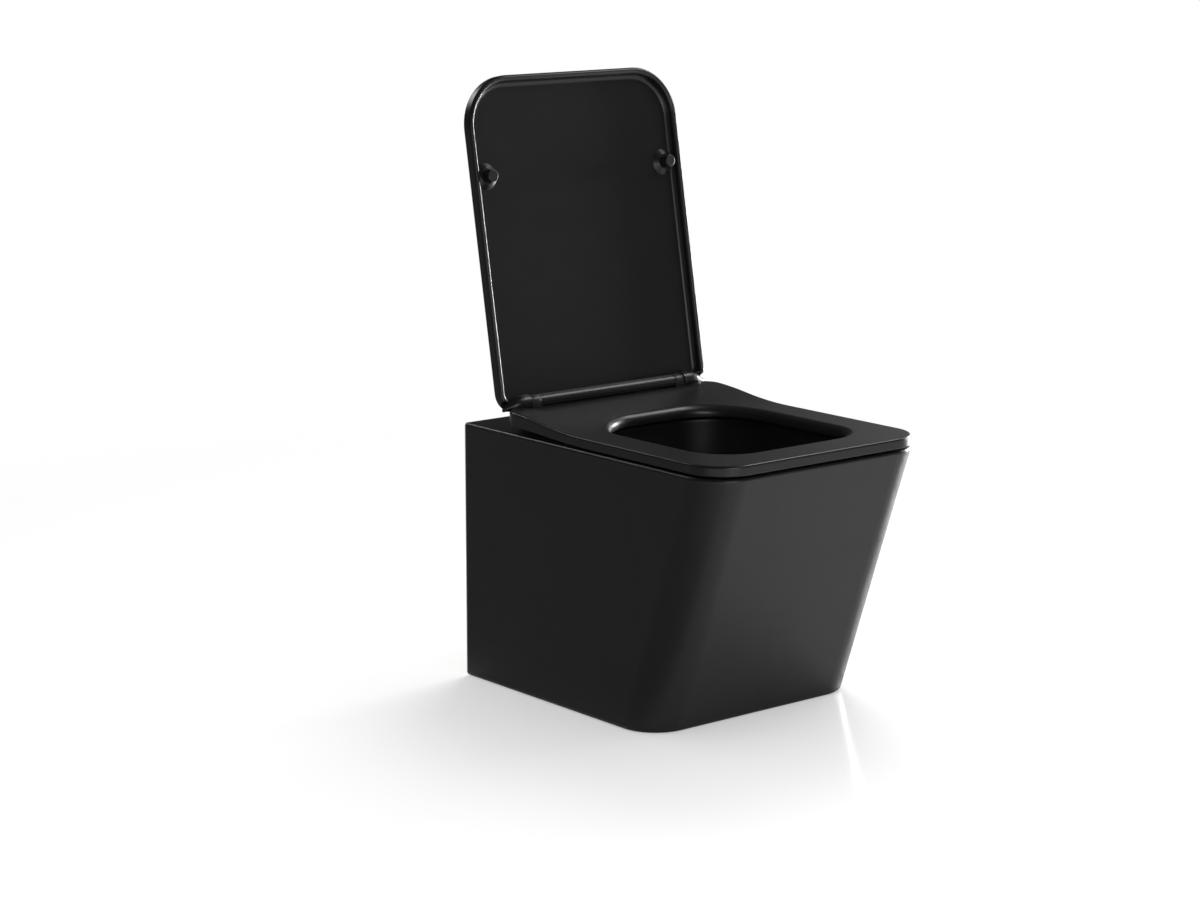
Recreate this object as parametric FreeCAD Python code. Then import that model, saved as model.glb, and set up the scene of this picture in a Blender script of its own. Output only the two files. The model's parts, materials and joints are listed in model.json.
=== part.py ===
import FreeCAD, Part
import math
import os
from FreeCAD import Vector

os.makedirs("parts", exist_ok=True)

# Wall hung toilet in millimetres: X to the right seen from the front, Y into the wall, Z up.
# The origin lies on the wall, midway between the two wall studs.

# Pan, one piece of glazed fireclay
pan_width = 350.0
pan_length = 483.5
pan_height = 335.0
foot_setback = 117.0
top_corner_r = 51.0
foot_corner_r = 53.0
rim_edge_r = 4.0
foot_edge_r = 6.0
clay_wall = 12.0
deck_thickness = 14.0

# Bowl: its mouth in the rim and its sump above the foot
rim_side_band = 48.0
rim_front_band = 43.5
mouth_from_wall = 158.0
mouth_rear_corner_r = 78.0
mouth_front_corner_r = 60.0
mouth_edge_r = 5.0
sump_half = 33.0
sump_from_wall = 212.0
sump_length = 52.0
sump_corner_r = 22.0
sump_above_foot = 22.0
# Levels of the bowl: share of the way down, and share of the mouth's opening that is left there
bowl_levels = [(0.07, 0.99), (0.27, 0.87), (0.53, 0.60), (0.75, 0.32), (0.91, 0.13), (1.0, 0.0)]

# Trap behind the bowl
trap_r = 29.0
trap_mouth_from_wall = 238.0
trap_bend_from_wall = 190.0
trap_crest_from_wall = 72.0
trap_bend_r = 48.0
trap_above_waste = 9.0

# Places where the pan meets the wall
stud_spacing = 180.0
stud_below_rim = 85.0
stud_bore_r = 6.3
waste_below_studs = 100.0
waste_outer_r = 51.0
waste_bore_r = 40.0
waste_end_from_wall = 6.0
waste_length = 70.0
inlet_above_studs = 35.0
inlet_bore_r = 27.5
inlet_depth = 42.0
inlet_wall = 10.0
flush_way_r = 20.0
access_width = 76.0
access_length = 84.0
access_from_wall = 34.0

# Fixings on the wall studs
lug_depth = 22.0
lug_height = 50.0
lug_reach = 24.0
bush_r = 11.0
bush_flange_r = 16.0
bush_flange = 3.0
bush_gap = 0.1
washer_r = 14.0
washer_bore_r = 6.5
washer_thickness = 2.5
nut_across_flats = 19.0
nut_height = 10.0

# Hinge line of seat and lid
axis_from_wall = 72.0
axis_above_rim = 31.5
barrel_r = 8.7
block_from_side = 55.0
block_width = 15.0
side_gap = 0.5
swing_gap = 1.3

# Hinge feet on the pan
seat_bolt_spacing = 155.0
plate_r = 14.0
plate_thickness = 3.0
gasket_thickness = 1.0
post_r = 5.0
post_below_pin = 1.5
post_tip_chamfer = 1.0
post_stub_r = 3.5
post_groove_r = 3.7
post_groove_above_plate = 8.5
bolt_r = 4.0
bolt_head_r = 7.5
bolt_head = 4.0
bolt_head_edge_r = 1.2
bolt_drive_r = 2.9
bolt_drive_depth = 2.8
bolt_clearance = 0.3
anchor_hole_r = 7.0
anchor_gap = 0.1
anchor_length = 34.0
anchor_nut_r = 6.5
anchor_nut = 8.0
anchor_nut_chamfer = 1.5
running_gap = 0.05

# Release catch in each hinge block
clip_wire_r = 0.6
clip_gap = 0.1
clip_end = 10.0
clip_bend_start = 2.0
clip_slot_gap = 0.3
button_width = 9.6
button_height = 5.4
button_nose_width = 5.0
button_nose_start = 8.4
button_taper = 3.6
button_proud = 1.2
button_edge_r = 0.8
button_stroke = 3.0
button_gap = 0.3
catch_rear = 14.0
catch_wall = 1.8
catch_width = 13.2

# Pivots between blocks, seat and lid
pin_r = 4.0
pin_socket = 6.5
pin_reach = 18.0
sleeve_r = 6.5
sleeve_gap = 0.05
rotor_square = 6.0
rotor_r = 3.2
rotor_reach = 15.0
damper_cap = 4.0
damper_floor = 2.0
seat_damper_length = 18.0
lid_damper_length = 40.0

# Seat ring
seat_side_inset = 2.0
seat_front_overhang = 0.5
seat_front_corner_r = 50.0
seat_rear_corner_r = 25.0
seat_rear_before_axis = 3.0
seat_gap = 2.5
seat_thickness = 13.0
seat_below_axis = 4.0
seat_rise_from_axis = 163.0
seat_under_rise = 6.5
seat_under_rise_from_axis = 188.0
seat_edge_r = 3.0
seat_under_edge_r = 1.5
seat_rear_middle = 7.0
seat_cove_r = 10.8
seat_dip_below_axis = 6.3
seat_dip_from_axis = 42.0
seat_dip_fade = 22.0
seat_dip_start = 3.7
opening_side_band = 56.0
opening_front_band = 57.0
opening_from_axis = 101.0
opening_rear_corner_r = 78.0
opening_front_corner_r = 54.0
opening_roll_r = 11.0
ear_r = 10.0
ear_taper = 30.0
ear_side_inset = 3.0
ear_stop_inset = 5.0
# Steps along an ear: share of its length, share of its radius, and drop below the hinge line
ear_steps = [(0.0, 1.0, 0.0), (0.38, 1.0, 0.0), (0.6, 0.87, 1.3), (0.82, 0.52, 3.4), (1.0, 0.26, 6.0)]
seat_buffer_length = 34.0
seat_buffer_width = 12.0
seat_buffer_recess = 2.0
seat_buffer_side_gap = 0.05
seat_buffer_rest_gap = 0.1
# Middles of the buffers, from the seat's side and from its front
seat_buffer_places = [(61.0, 26.0), (23.0, 184.0)]

# Lid, a shallow tray that carries the hinge barrel
lid_side_inset = 2.0
lid_front_overhang = 2.5
lid_rear_from_axis = 10.0
lid_lip_below_axis = 2.1
lid_depth = 16.0
lid_panel = 4.4
lid_lip_width = 8.0
lid_lip_r = 3.4
lid_inner_lip_r = 4.4
lid_cove_r = 7.0
lid_front_corner_r = 66.0
lid_rear_corner_r = 25.0
lid_back_edge_r = 4.0
lid_lean = 10.2
lid_closed_dip = 1.7
lid_ear_gap = 1.4
lid_buffer_from_side = 24.0
lid_buffer_from_front = 125.5
boss_base_r = 17.0
boss_end_r = 10.0
boss_height = 4.5
buffer_r = 8.0
buffer_edge_r = 1.5
buffer_stem_r = 4.0
buffer_stem = 6.0
buffer_rest_gap = 0.3

# Heights and places worked out from the sizes above
x_way = Vector(1, 0, 0)
y_way = Vector(0, 1, 0)
z_way = Vector(0, 0, 1)
past = clay_wall
rim = stud_below_rim
foot = rim - pan_height
waste_z = -waste_below_studs
waste_start = -waste_end_from_wall - waste_length
inlet_z = inlet_above_studs
stud_x = stud_spacing / 2
bolt_x = seat_bolt_spacing / 2
mouth_half = pan_width / 2 - rim_side_band
mouth_front = -pan_length + rim_front_band
mouth_rear = -mouth_from_wall

axis_y = -axis_from_wall
axis_z = rim + axis_above_rim
axis_point = Vector(0, axis_y, axis_z)
swing_r = barrel_r + swing_gap
block_centre = pan_width / 2 - block_from_side
block_inner = block_centre - block_width / 2
block_outer = block_centre + block_width / 2
barrel_half = block_inner - side_gap
ear_start = block_outer + side_gap
plate_top = rim + gasket_thickness + plate_thickness
post_top = axis_z - pin_r - post_below_pin
groove_z = plate_top + post_groove_above_plate
clip_leg = post_groove_r + clip_gap + clip_wire_r

seat_half = pan_width / 2 - seat_side_inset
seat_front = -pan_length - seat_front_overhang
seat_rear = axis_y - seat_rear_before_axis
seat_under = rim + seat_gap
seat_top = seat_under + seat_thickness
seat_high = axis_z - seat_below_axis
opening_half = seat_half - opening_side_band
opening_front = seat_front + opening_front_band
opening_rear = axis_y - opening_from_axis
ear_end = seat_half - ear_side_inset

lid_half = seat_half - lid_side_inset
lid_front = seat_front - lid_front_overhang
lid_rear = axis_y + lid_rear_from_axis
lid_lip = axis_z - lid_lip_below_axis
lid_back = lid_lip + lid_depth
lid_inside = lid_back - lid_panel
lid_buffer_x = lid_half - lid_buffer_from_side
lid_buffer_y = lid_front + lid_buffer_from_front
boss_end = lid_inside - boss_height
buffer_dip = (axis_y - lid_buffer_y) * math.sin(math.radians(lid_closed_dip))
buffer_end = seat_top + buffer_dip + buffer_rest_gap


def block(x0, x1, y0, y1, z0, z1):
    return Part.makeBox(abs(x1 - x0), y1 - y0, z1 - z0, Vector(min(x0, x1), y0, z0))


def rod_x(x0, x1, radius):
    return Part.makeCylinder(radius, abs(x1 - x0), Vector(min(x0, x1), axis_y, axis_z), x_way)


def rod_y(y0, y1, radius, x, z):
    return Part.makeCylinder(radius, y1 - y0, Vector(x, y0, z), y_way)


def rod_z(z0, z1, radius, x, y):
    return Part.makeCylinder(radius, z1 - z0, Vector(x, y, z0), z_way)


def rounded(half, y_rear, y_front, r_rear, r_front, z):
    # Outline symmetric about the middle, from its rear edge round to its rear edge again.
    edges = []

    def corner(cx, cy, radius, start):
        turns = [math.radians(a) for a in (start, start + 45, start + 90)]
        points = [Vector(cx + radius * math.cos(a), cy + radius * math.sin(a), z) for a in turns]
        edges.append(Part.Arc(*points).toShape())

    def line(x0, y0, x1, y1):
        edges.append(Part.makeLine(Vector(x0, y0, z), Vector(x1, y1, z)))

    line(half - r_rear, y_rear, -half + r_rear, y_rear)
    if r_rear:
        corner(-half + r_rear, y_rear - r_rear, r_rear, 90)
    line(-half, y_rear - r_rear, -half, y_front + r_front)
    corner(-half + r_front, y_front + r_front, r_front, 180)
    line(-half + r_front, y_front, half - r_front, y_front)
    corner(half - r_front, y_front + r_front, r_front, 270)
    line(half, y_front + r_front, half, y_rear - r_rear)
    if r_rear:
        corner(half - r_rear, y_rear - r_rear, r_rear, 0)
    return Part.Wire(edges)


def prism(wire, height):
    return Part.Face(wire).extrude(Vector(0, 0, height))


def edges_where(shape, test):
    return [e for e in shape.Edges if test(e)]


def same(a, b):
    return abs(a - b) < 0.01


def lies_low(level):
    return lambda e: same(e.BoundBox.ZMax, level)


def lies_high(level):
    return lambda e: same(e.BoundBox.ZMin, level)


def within(e, half, y_front, y_rear):
    p = e.CenterOfMass
    return abs(p.x) < half + 0.1 and y_front - 0.1 < p.y < y_rear + 0.1


def mirrored(shape):
    return shape.mirror(Vector(0, 0, 0), x_way)


def both(shape):
    return Part.makeCompound([shape, mirrored(shape)])


def save(name, shape):
    shape.exportStep("parts/" + name + ".step")


# Pan

def pan_outline(z, inset, y_rear):
    down = (rim - z) / pan_height
    slope = math.atan(foot_setback / pan_height)
    front = -pan_length + foot_setback * down + inset / math.cos(slope)
    radius = top_corner_r + (foot_corner_r - top_corner_r) * down
    return rounded(pan_width / 2 - inset, y_rear, front, 0, radius - inset, z)


def make_pan_outside():
    body = Part.makeLoft([pan_outline(foot, 0, 0), pan_outline(rim, 0, 0)], True, True)
    for level, radius, lies in ((rim, rim_edge_r, lies_high), (foot, foot_edge_r, lies_low)):
        at_level = lies(level)
        edges = edges_where(body, lambda e: at_level(e) and not same(e.BoundBox.YMin, 0))
        body = body.makeFillet(radius, edges)
    return body


def bowl_outline(opening, z, grow):
    # Between the sump, where the opening is 0, and the mouth, where it is 1.
    def between(sump, mouth):
        return sump + (mouth - sump) * opening

    half = between(sump_half, mouth_half)
    y_rear = between(-sump_from_wall, mouth_rear)
    y_front = between(-sump_from_wall - sump_length, mouth_front)
    r_rear = between(sump_corner_r, mouth_rear_corner_r)
    r_front = between(sump_corner_r, mouth_front_corner_r)
    return rounded(half + grow, y_rear + grow, y_front - grow, r_rear + grow, r_front + grow, z)


def make_bowl(grow):
    depth = pan_height - sump_above_foot
    wires = [bowl_outline(1, rim + rim_edge_r, grow)]
    for way_down, opening in bowl_levels:
        wires.append(bowl_outline(opening, rim - depth * way_down - grow, grow))
    return Part.makeLoft(wires, True, False)


def make_trap(radius):
    # Along the sump, up a slope between two equal bends, and level over to the waste.
    start_z = foot + sump_above_foot + trap_r
    crest_z = waste_z + trap_above_waste
    run = trap_bend_from_wall - trap_crest_from_wall
    lift = crest_z - start_z - 2 * trap_bend_r
    climb = math.atan2(lift, run) + math.asin(2 * trap_bend_r / math.hypot(run, lift))
    low_centre = Vector(0, -trap_bend_from_wall, start_z + trap_bend_r)
    high_centre = Vector(0, -trap_crest_from_wall, crest_z - trap_bend_r)

    def on_bend(centre, angle, sign):
        return centre + Vector(0, sign * math.sin(angle), -sign * math.cos(angle)) * trap_bend_r

    start = Vector(0, -trap_mouth_from_wall, start_z)
    low = [on_bend(low_centre, a, 1) for a in (0, climb / 2, climb)]
    high = [on_bend(high_centre, a, -1) for a in (climb, climb / 2, 0)]
    path = Part.Wire([
        Part.makeLine(start, low[0]),
        Part.Arc(*low).toShape(),
        Part.makeLine(low[2], high[0]),
        Part.Arc(*high).toShape(),
        Part.makeLine(high[2], Vector(0, -waste_end_from_wall - past, crest_z)),
    ])
    ring = Part.Wire([Part.makeCircle(radius, start, y_way)])
    return path.makePipeShell([ring], True, True)


def make_ways():
    # All that is hollow from the bowl to the wall.
    ways = make_bowl(0).fuse(make_trap(trap_r))
    ways = ways.fuse(rod_y(waste_start - past, past, waste_bore_r, 0, waste_z))
    ways = ways.fuse(rod_y(-inlet_depth, past, inlet_bore_r, 0, inlet_z))
    return ways.fuse(rod_y(mouth_rear - 2 * past, past, flush_way_r, 0, inlet_z))


def make_hollow():
    wires = [pan_outline(z, clay_wall, past) for z in (foot + clay_wall, rim + past)]
    return Part.makeLoft(wires, True, True)


# The pan is fired in one, and is drawn in pieces that meet face to face, one for each of its walls

bowl_outside = make_bowl(clay_wall)
ways = make_ways()


def under_deck(shape):
    room = block(-pan_width, pan_width, -2 * pan_length, 0, foot + clay_wall, rim - deck_thickness)
    return shape.common(room).cut(ways)


def make_pan_shell():
    shell = make_pan_outside().cut(make_hollow())
    for side in (-1, 1):
        inner = side * (stud_x - lug_reach)
        outer = side * (pan_width - clay_wall) / 2
        shell = shell.fuse(block(inner, outer, -lug_depth, 0, -lug_height / 2, lug_height / 2))
        shell = shell.cut(rod_y(-lug_depth - past, past, bush_r, side * stud_x, 0))
        left = side * stud_x - access_width / 2
        front = -access_from_wall - access_length
        top = foot + clay_wall + past
        shell = shell.cut(block(left, left + access_width, front, front + access_length, foot - past, top))
    return shell.removeSplitter()


def make_pan_deck():
    under = rim - deck_thickness
    deck = make_hollow().common(block(-pan_width, pan_width, -2 * pan_length, 0, under, rim))
    deck = deck.cut(ways)
    for side in (-1, 1):
        deck = deck.cut(rod_z(under - past, rim + past, anchor_hole_r, side * bolt_x, axis_y))
    on_rim = lies_high(rim)
    lip = edges_where(deck, lambda e: on_rim(e) and within(e, mouth_half, mouth_front, mouth_rear))
    return deck.makeFillet(mouth_edge_r, lip)


def make_pan_bowl():
    return under_deck(bowl_outside)


def make_pan_trap():
    spigot = rod_y(waste_start, -waste_end_from_wall, waste_outer_r, 0, waste_z)
    return under_deck(make_trap(trap_r + clay_wall).fuse(spigot).cut(bowl_outside))


def make_pan_inlet():
    inlet = rod_y(-inlet_depth - inlet_wall, 0, inlet_bore_r + inlet_wall, 0, inlet_z)
    inlet = inlet.fuse(rod_y(mouth_rear, -inlet_depth, flush_way_r + inlet_wall, 0, inlet_z))
    return under_deck(inlet.cut(bowl_outside)).removeSplitter()


# Wall fixings, drawn on the right side

bush_front = -lug_depth - bush_flange
washer_front = bush_front - washer_thickness
nut_front = washer_front - nut_height


def make_stud_bush():
    bush = rod_y(-lug_depth, 0, bush_r - bush_gap, stud_x, 0)
    bush = bush.fuse(rod_y(bush_front, -lug_depth, bush_flange_r, stud_x, 0)).removeSplitter()
    return bush.cut(rod_y(bush_front - past, past, stud_bore_r, stud_x, 0))


def make_stud_washer():
    washer = rod_y(washer_front, bush_front, washer_r, stud_x, 0)
    return washer.cut(rod_y(washer_front - past, past, washer_bore_r, stud_x, 0))


def make_stud_nut():
    corner_r = nut_across_flats / math.sqrt(3)
    turns = [math.radians(60 * k) for k in range(7)]
    points = [Vector(stud_x + corner_r * math.cos(a), nut_front, corner_r * math.sin(a)) for a in turns]
    nut = Part.Face(Part.makePolygon(points)).extrude(Vector(0, nut_height, 0))
    return nut.cut(rod_y(nut_front - past, past, stud_bore_r, stud_x, 0))


# Hinge feet, drawn on the right side

def foot_slab(z0, z1):
    slab = block(bolt_x, block_centre, axis_y - plate_r, axis_y + plate_r, z0, z1)
    ends = [rod_z(z0, z1, plate_r, x, axis_y) for x in (bolt_x, block_centre)]
    slab = slab.fuse(ends).removeSplitter()
    return slab.cut(rod_z(z0 - past, z1 + past, bolt_r + bolt_clearance, bolt_x, axis_y))


def make_gasket():
    return foot_slab(rim, rim + gasket_thickness)


def make_plate():
    plate = foot_slab(rim + gasket_thickness, plate_top)
    return plate.cut(rod_z(rim, plate_top + past, post_stub_r, block_centre, axis_y))


def make_post():
    post = rod_z(plate_top, post_top, post_r, block_centre, axis_y)
    post = post.makeChamfer(post_tip_chamfer, edges_where(post, lies_high(post_top)))
    half = clip_wire_r + clip_gap
    groove = rod_z(groove_z - half, groove_z + half, post_r + past, block_centre, axis_y)
    groove = groove.cut(rod_z(groove_z - half, groove_z + half, post_groove_r, block_centre, axis_y))
    stub = rod_z(rim + gasket_thickness, plate_top, post_stub_r, block_centre, axis_y)
    return post.cut(groove).fuse(stub)


def make_hinge_bolt():
    head_top = plate_top + bolt_head
    head = rod_z(plate_top, head_top, bolt_head_r, bolt_x, axis_y)
    head = head.makeFillet(bolt_head_edge_r, edges_where(head, lies_high(head_top)))
    shank = rod_z(rim - anchor_length - anchor_nut, plate_top, bolt_r, bolt_x, axis_y)
    drive = rod_z(head_top - bolt_drive_depth, head_top + past, bolt_drive_r, bolt_x, axis_y)
    return head.fuse(shank).cut(drive)


def make_anchor_sleeve():
    end = rim - anchor_length
    sleeve = rod_z(end, rim, anchor_hole_r - anchor_gap, bolt_x, axis_y)
    return sleeve.cut(rod_z(end - past, rim + past, bolt_r + anchor_gap, bolt_x, axis_y))


def make_anchor_nut():
    top = rim - anchor_length
    nut = rod_z(top - anchor_nut, top, anchor_nut_r, bolt_x, axis_y)
    nut = nut.makeChamfer(anchor_nut_chamfer, edges_where(nut, lies_high(top)))
    return nut.cut(rod_z(top - anchor_nut - past, top + past, bolt_r + running_gap, bolt_x, axis_y))


# Hinge blocks with their release catch, drawn on the right side

def make_clip():
    y_bend = axis_y - clip_bend_start
    y_end = axis_y + clip_end
    left, right = block_centre - clip_leg, block_centre + clip_leg
    left_bend, right_bend = Vector(left, y_bend, groove_z), Vector(right, y_bend, groove_z)
    nose = Vector(block_centre, y_bend - clip_leg, groove_z)
    path = Part.Wire([
        Part.makeLine(Vector(left, y_end, groove_z), left_bend),
        Part.Arc(left_bend, nose, right_bend).toShape(),
        Part.makeLine(right_bend, Vector(right, y_end, groove_z)),
    ])
    wire = Part.Wire([Part.makeCircle(clip_wire_r, Vector(left, y_end, groove_z), y_way)])
    return path.makePipeShell([wire], True, True)


def make_button():
    # Plunger whose tapered nose parts the legs of the clip.
    tip = axis_y + button_nose_start
    shoulder = tip + button_taper
    face = axis_y + catch_rear + button_proud
    nose = button_nose_width / 2
    half = button_width / 2
    corners = [(-nose, tip), (nose, tip), (half, shoulder), (half, face), (-half, face), (-half, shoulder),
               (-nose, tip)]
    points = [Vector(block_centre + x, y, groove_z - button_height / 2) for x, y in corners]
    button = Part.Face(Part.makePolygon(points)).extrude(Vector(0, 0, button_height))
    return button.makeFillet(button_edge_r, edges_where(button, lambda e: same(e.BoundBox.YMin, face)))


def catch_box(half_x, y_front, y_rear, half_z):
    left, right = block_centre - half_x, block_centre + half_x
    return block(left, right, y_front, y_rear, groove_z - half_z, groove_z + half_z)


def square_bar(x0, x1):
    side = rotor_square / 2
    return block(x0, x1, axis_y - side, axis_y + side, axis_z - side, axis_z + side)


def make_hinge_block(inner_square, outer_square):
    rear = axis_y + catch_rear
    pocket_half = button_height / 2 + button_gap
    body = rod_x(block_inner, block_outer, barrel_r)
    y_front, y_back = axis_y - barrel_r, axis_y + barrel_r
    body = body.fuse(block(block_inner, block_outer, y_front, y_back, plate_top, axis_z))
    body = body.fuse(catch_box(catch_width / 2, axis_y, rear, pocket_half + catch_wall)).removeSplitter()
    post_room = rod_z(plate_top - past, post_top + running_gap, post_r + running_gap, block_centre, axis_y)
    clip_room = clip_wire_r + clip_slot_gap
    clip_front = axis_y - clip_bend_start - clip_leg - clip_room
    clip_slot = catch_box(clip_leg + clip_room, clip_front, rear + past, clip_room)
    button_front = axis_y + button_nose_start - button_stroke - button_gap
    button_slot = catch_box(button_width / 2 + button_gap, button_front, rear + past, pocket_half)
    body = body.cut(post_room).cut(clip_slot).cut(button_slot)
    sockets = ((inner_square, block_inner - past, block_inner + pin_socket),
               (outer_square, block_outer - pin_socket, block_outer + past))
    for square, x0, x1 in sockets:
        body = body.cut(square_bar(x0, x1) if square else rod_x(x0, x1, pin_r))
    return body


# Pivots and dampers, each from the face of its block outwards: the way is 1 towards +X and -1 towards -X

def make_pin(x_block, way):
    return rod_x(x_block - way * pin_socket, x_block + way * pin_reach, pin_r)


def make_rotor(x_block, way):
    shoulder = x_block + way * side_gap
    root = square_bar(x_block - way * pin_socket, shoulder)
    return root.fuse(rod_x(shoulder, x_block + way * rotor_reach, rotor_r))


def make_bush(x_face, way):
    bush = rod_x(x_face, x_face + way * pin_reach, sleeve_r - sleeve_gap)
    return bush.cut(rod_x(x_face - way * past, x_face + way * (pin_reach + past), pin_r + running_gap))


def make_damper_case(x_face, way, length):
    start = x_face + way * damper_cap
    end = x_face + way * length
    case = rod_x(start, end, sleeve_r - sleeve_gap)
    return case.cut(rod_x(start - way * past, end - way * damper_floor, rotor_r + running_gap))


def make_damper_cap(x_face, way):
    cap = rod_x(x_face, x_face + way * damper_cap, sleeve_r - sleeve_gap)
    return cap.cut(rod_x(x_face - way * past, x_face + way * (damper_cap + past), rotor_r + running_gap))


# Seat ring

def rise_radius(length, rise):
    return (length * length + rise * rise) / (4 * rise)


def rising_curve(y_start, z_start, z_end):
    # Two equal arcs that meet half way to the hinge line, level at both ends.
    length = axis_y - y_start
    rise = z_end - z_start
    radius = rise_radius(length, rise)
    quarter = length / 4
    sag = radius - math.sqrt(radius * radius - quarter * quarter)
    heights = [z_start, z_start + sag, z_start + rise / 2, z_end - sag, z_end]
    points = [Vector(0, y_start + quarter * k, height) for k, height in enumerate(heights)]
    return [Part.Arc(*points[0:3]).toShape(), Part.Arc(*points[2:5]).toShape()]


def make_seat_side():
    # Side view of the seat, level at the front and swept up towards the hinge line.
    y_front = seat_front - past
    y_rear = axis_y + past
    top_start = axis_y - seat_rise_from_axis
    under_start = axis_y - seat_under_rise_from_axis
    under_high = seat_under + seat_under_rise

    def line(y0, z0, y1, z1):
        return Part.makeLine(Vector(0, y0, z0), Vector(0, y1, z1))

    edges = [
        line(y_front, seat_top, top_start, seat_top),
        *rising_curve(top_start, seat_top, seat_high),
        line(axis_y, seat_high, y_rear, seat_high),
        line(y_rear, seat_high, y_rear, under_high),
        line(y_rear, under_high, axis_y, under_high),
        *rising_curve(under_start, seat_under, under_high),
        line(under_start, seat_under, y_front, seat_under),
        line(y_front, seat_under, y_front, seat_top),
    ]
    face = Part.Face(Part.Wire(Part.__sortEdges__(edges)))
    face.translate(Vector(-seat_half - past, 0, 0))
    return face.extrude(Vector(2 * (seat_half + past), 0, 0))


def make_seat_dip():
    # Shallow dip before the barrel, which runs out into the seat's top, and towards both sides.
    radius = rise_radius(seat_rise_from_axis, seat_high - seat_top)
    run_out = seat_high - radius + math.sqrt(radius * radius - seat_dip_from_axis * seat_dip_from_axis)
    floor = axis_z - seat_dip_below_axis
    slope = (run_out - floor) / (seat_dip_from_axis - seat_cove_r)
    y_near = axis_y - seat_dip_start
    y_far = axis_y - seat_dip_from_axis - past
    z_far = run_out + slope * past
    high = axis_z + past
    deep = floor - slope * (seat_cove_r - seat_dip_start)
    clear = seat_high + swing_gap
    wide = ear_start + seat_dip_fade
    rings = []
    for x, z_near in ((-wide, clear), (-ear_start, deep), (ear_start, deep), (wide, clear)):
        corners = [(y_near, z_near), (y_far, z_far), (y_far, high), (y_near, high), (y_near, z_near)]
        rings.append(Part.makePolygon([Vector(x, y, z) for y, z in corners]))
    return Part.makeLoft(rings, True, True)


def make_ear_room():
    # Space for an ear in the lid: round about the hinge line, and drawn in to a point at the seat's side.
    steps = 12
    radius = ear_r + lid_ear_gap
    shoulder = ear_end - ear_taper
    reach = ear_taper + lid_ear_gap
    turns = [math.pi / 2 * k / steps for k in range(steps + 1)]
    points = [Vector(shoulder + reach * math.sin(a), axis_y, axis_z + radius * math.cos(a)) for a in turns]
    taper = Part.BSplineCurve()
    taper.interpolate(points)
    middle = Vector(barrel_half, axis_y, axis_z)
    top = Vector(barrel_half, axis_y, axis_z + radius)
    outline = Part.Wire([
        Part.makeLine(middle, top),
        Part.makeLine(top, points[0]),
        taper.toShape(),
        Part.makeLine(points[-1], middle),
    ])
    return Part.Face(outline).revolve(axis_point, x_way, 360)


def make_ear():
    # A dome that carries the pivot and runs out into the seat's side.
    length = seat_half - ear_stop_inset - ear_start
    rings = []
    for along, size, drop in ear_steps:
        middle = Vector(ear_start + length * along, axis_y, axis_z - drop)
        rings.append(Part.Wire([Part.makeCircle(ear_r * size, middle, x_way)]))
    return Part.makeLoft(rings, True, False)


def seat_buffer_boxes(gap):
    half_x = seat_buffer_length / 2 + gap
    half_y = seat_buffer_width / 2 + gap
    boxes = []
    for from_side, from_front in seat_buffer_places:
        y = seat_front + from_front
        for side in (-1, 1):
            x = side * (seat_half - from_side)
            boxes.append(block(x - half_x, x + half_x, y - half_y, y + half_y,
                               rim + seat_buffer_rest_gap, seat_under + seat_buffer_recess))
    return boxes


def round_seat_edges(seat):
    edge_band = 0.4 * max(seat_front_corner_r, seat_rear_corner_r)

    def in_opening(e):
        inside = within(e, opening_half, opening_front, opening_rear)
        return inside and e.BoundBox.ZMin > seat_top - seat_edge_r

    def at_side(e):
        return not within(e, seat_half - edge_band, seat_front + edge_band, seat_rear - edge_band)

    seat = seat.makeFillet(opening_roll_r, edges_where(seat, in_opening))
    under = edges_where(seat, lambda e: at_side(e) and e.BoundBox.ZMax < seat_top)
    seat = seat.makeFillet(seat_under_edge_r, under)
    upper = edges_where(seat, lambda e: at_side(e) and e.BoundBox.ZMin > seat_top - seat_edge_r)
    return seat.makeFillet(seat_edge_r, upper)


def make_seat():
    low = rim - past
    high = axis_z + past
    plan = rounded(seat_half, seat_rear, seat_front, seat_rear_corner_r, seat_front_corner_r, low)
    hole = rounded(opening_half, opening_rear, opening_front,
                   opening_rear_corner_r, opening_front_corner_r, low)
    seat = make_seat_side().common(prism(plan, high - low)).cut(prism(hole, high - low))
    seat = round_seat_edges(seat)
    barrel_room = barrel_half + side_gap / 2
    rear = axis_y + past
    seat = seat.cut(make_seat_dip())
    seat = seat.cut(rod_x(-ear_start, ear_start, seat_cove_r))
    seat = seat.cut(block(-barrel_room, barrel_room, axis_y - seat_rear_middle, rear, low, high))
    for side in (-1, 1):
        seat = seat.cut(block(side * barrel_room, side * ear_start, axis_y - seat_cove_r, rear, low, high))
    ear = make_ear()
    seat = seat.fuse([ear, mirrored(ear)])
    seat = seat.cut(rod_x(ear_start - side_gap, ear_start + seat_damper_length, sleeve_r))
    seat = seat.cut(rod_x(-ear_start + side_gap, -ear_start - pin_reach, sleeve_r))
    return seat.cut(seat_buffer_boxes(seat_buffer_side_gap)).removeSplitter()


# Lid, drawn shut and level about the hinge line, then swung up and back

def open_lid(shape):
    shape = shape.copy()
    shape.rotate(axis_point, -x_way, 90 + lid_lean)
    return shape


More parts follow.
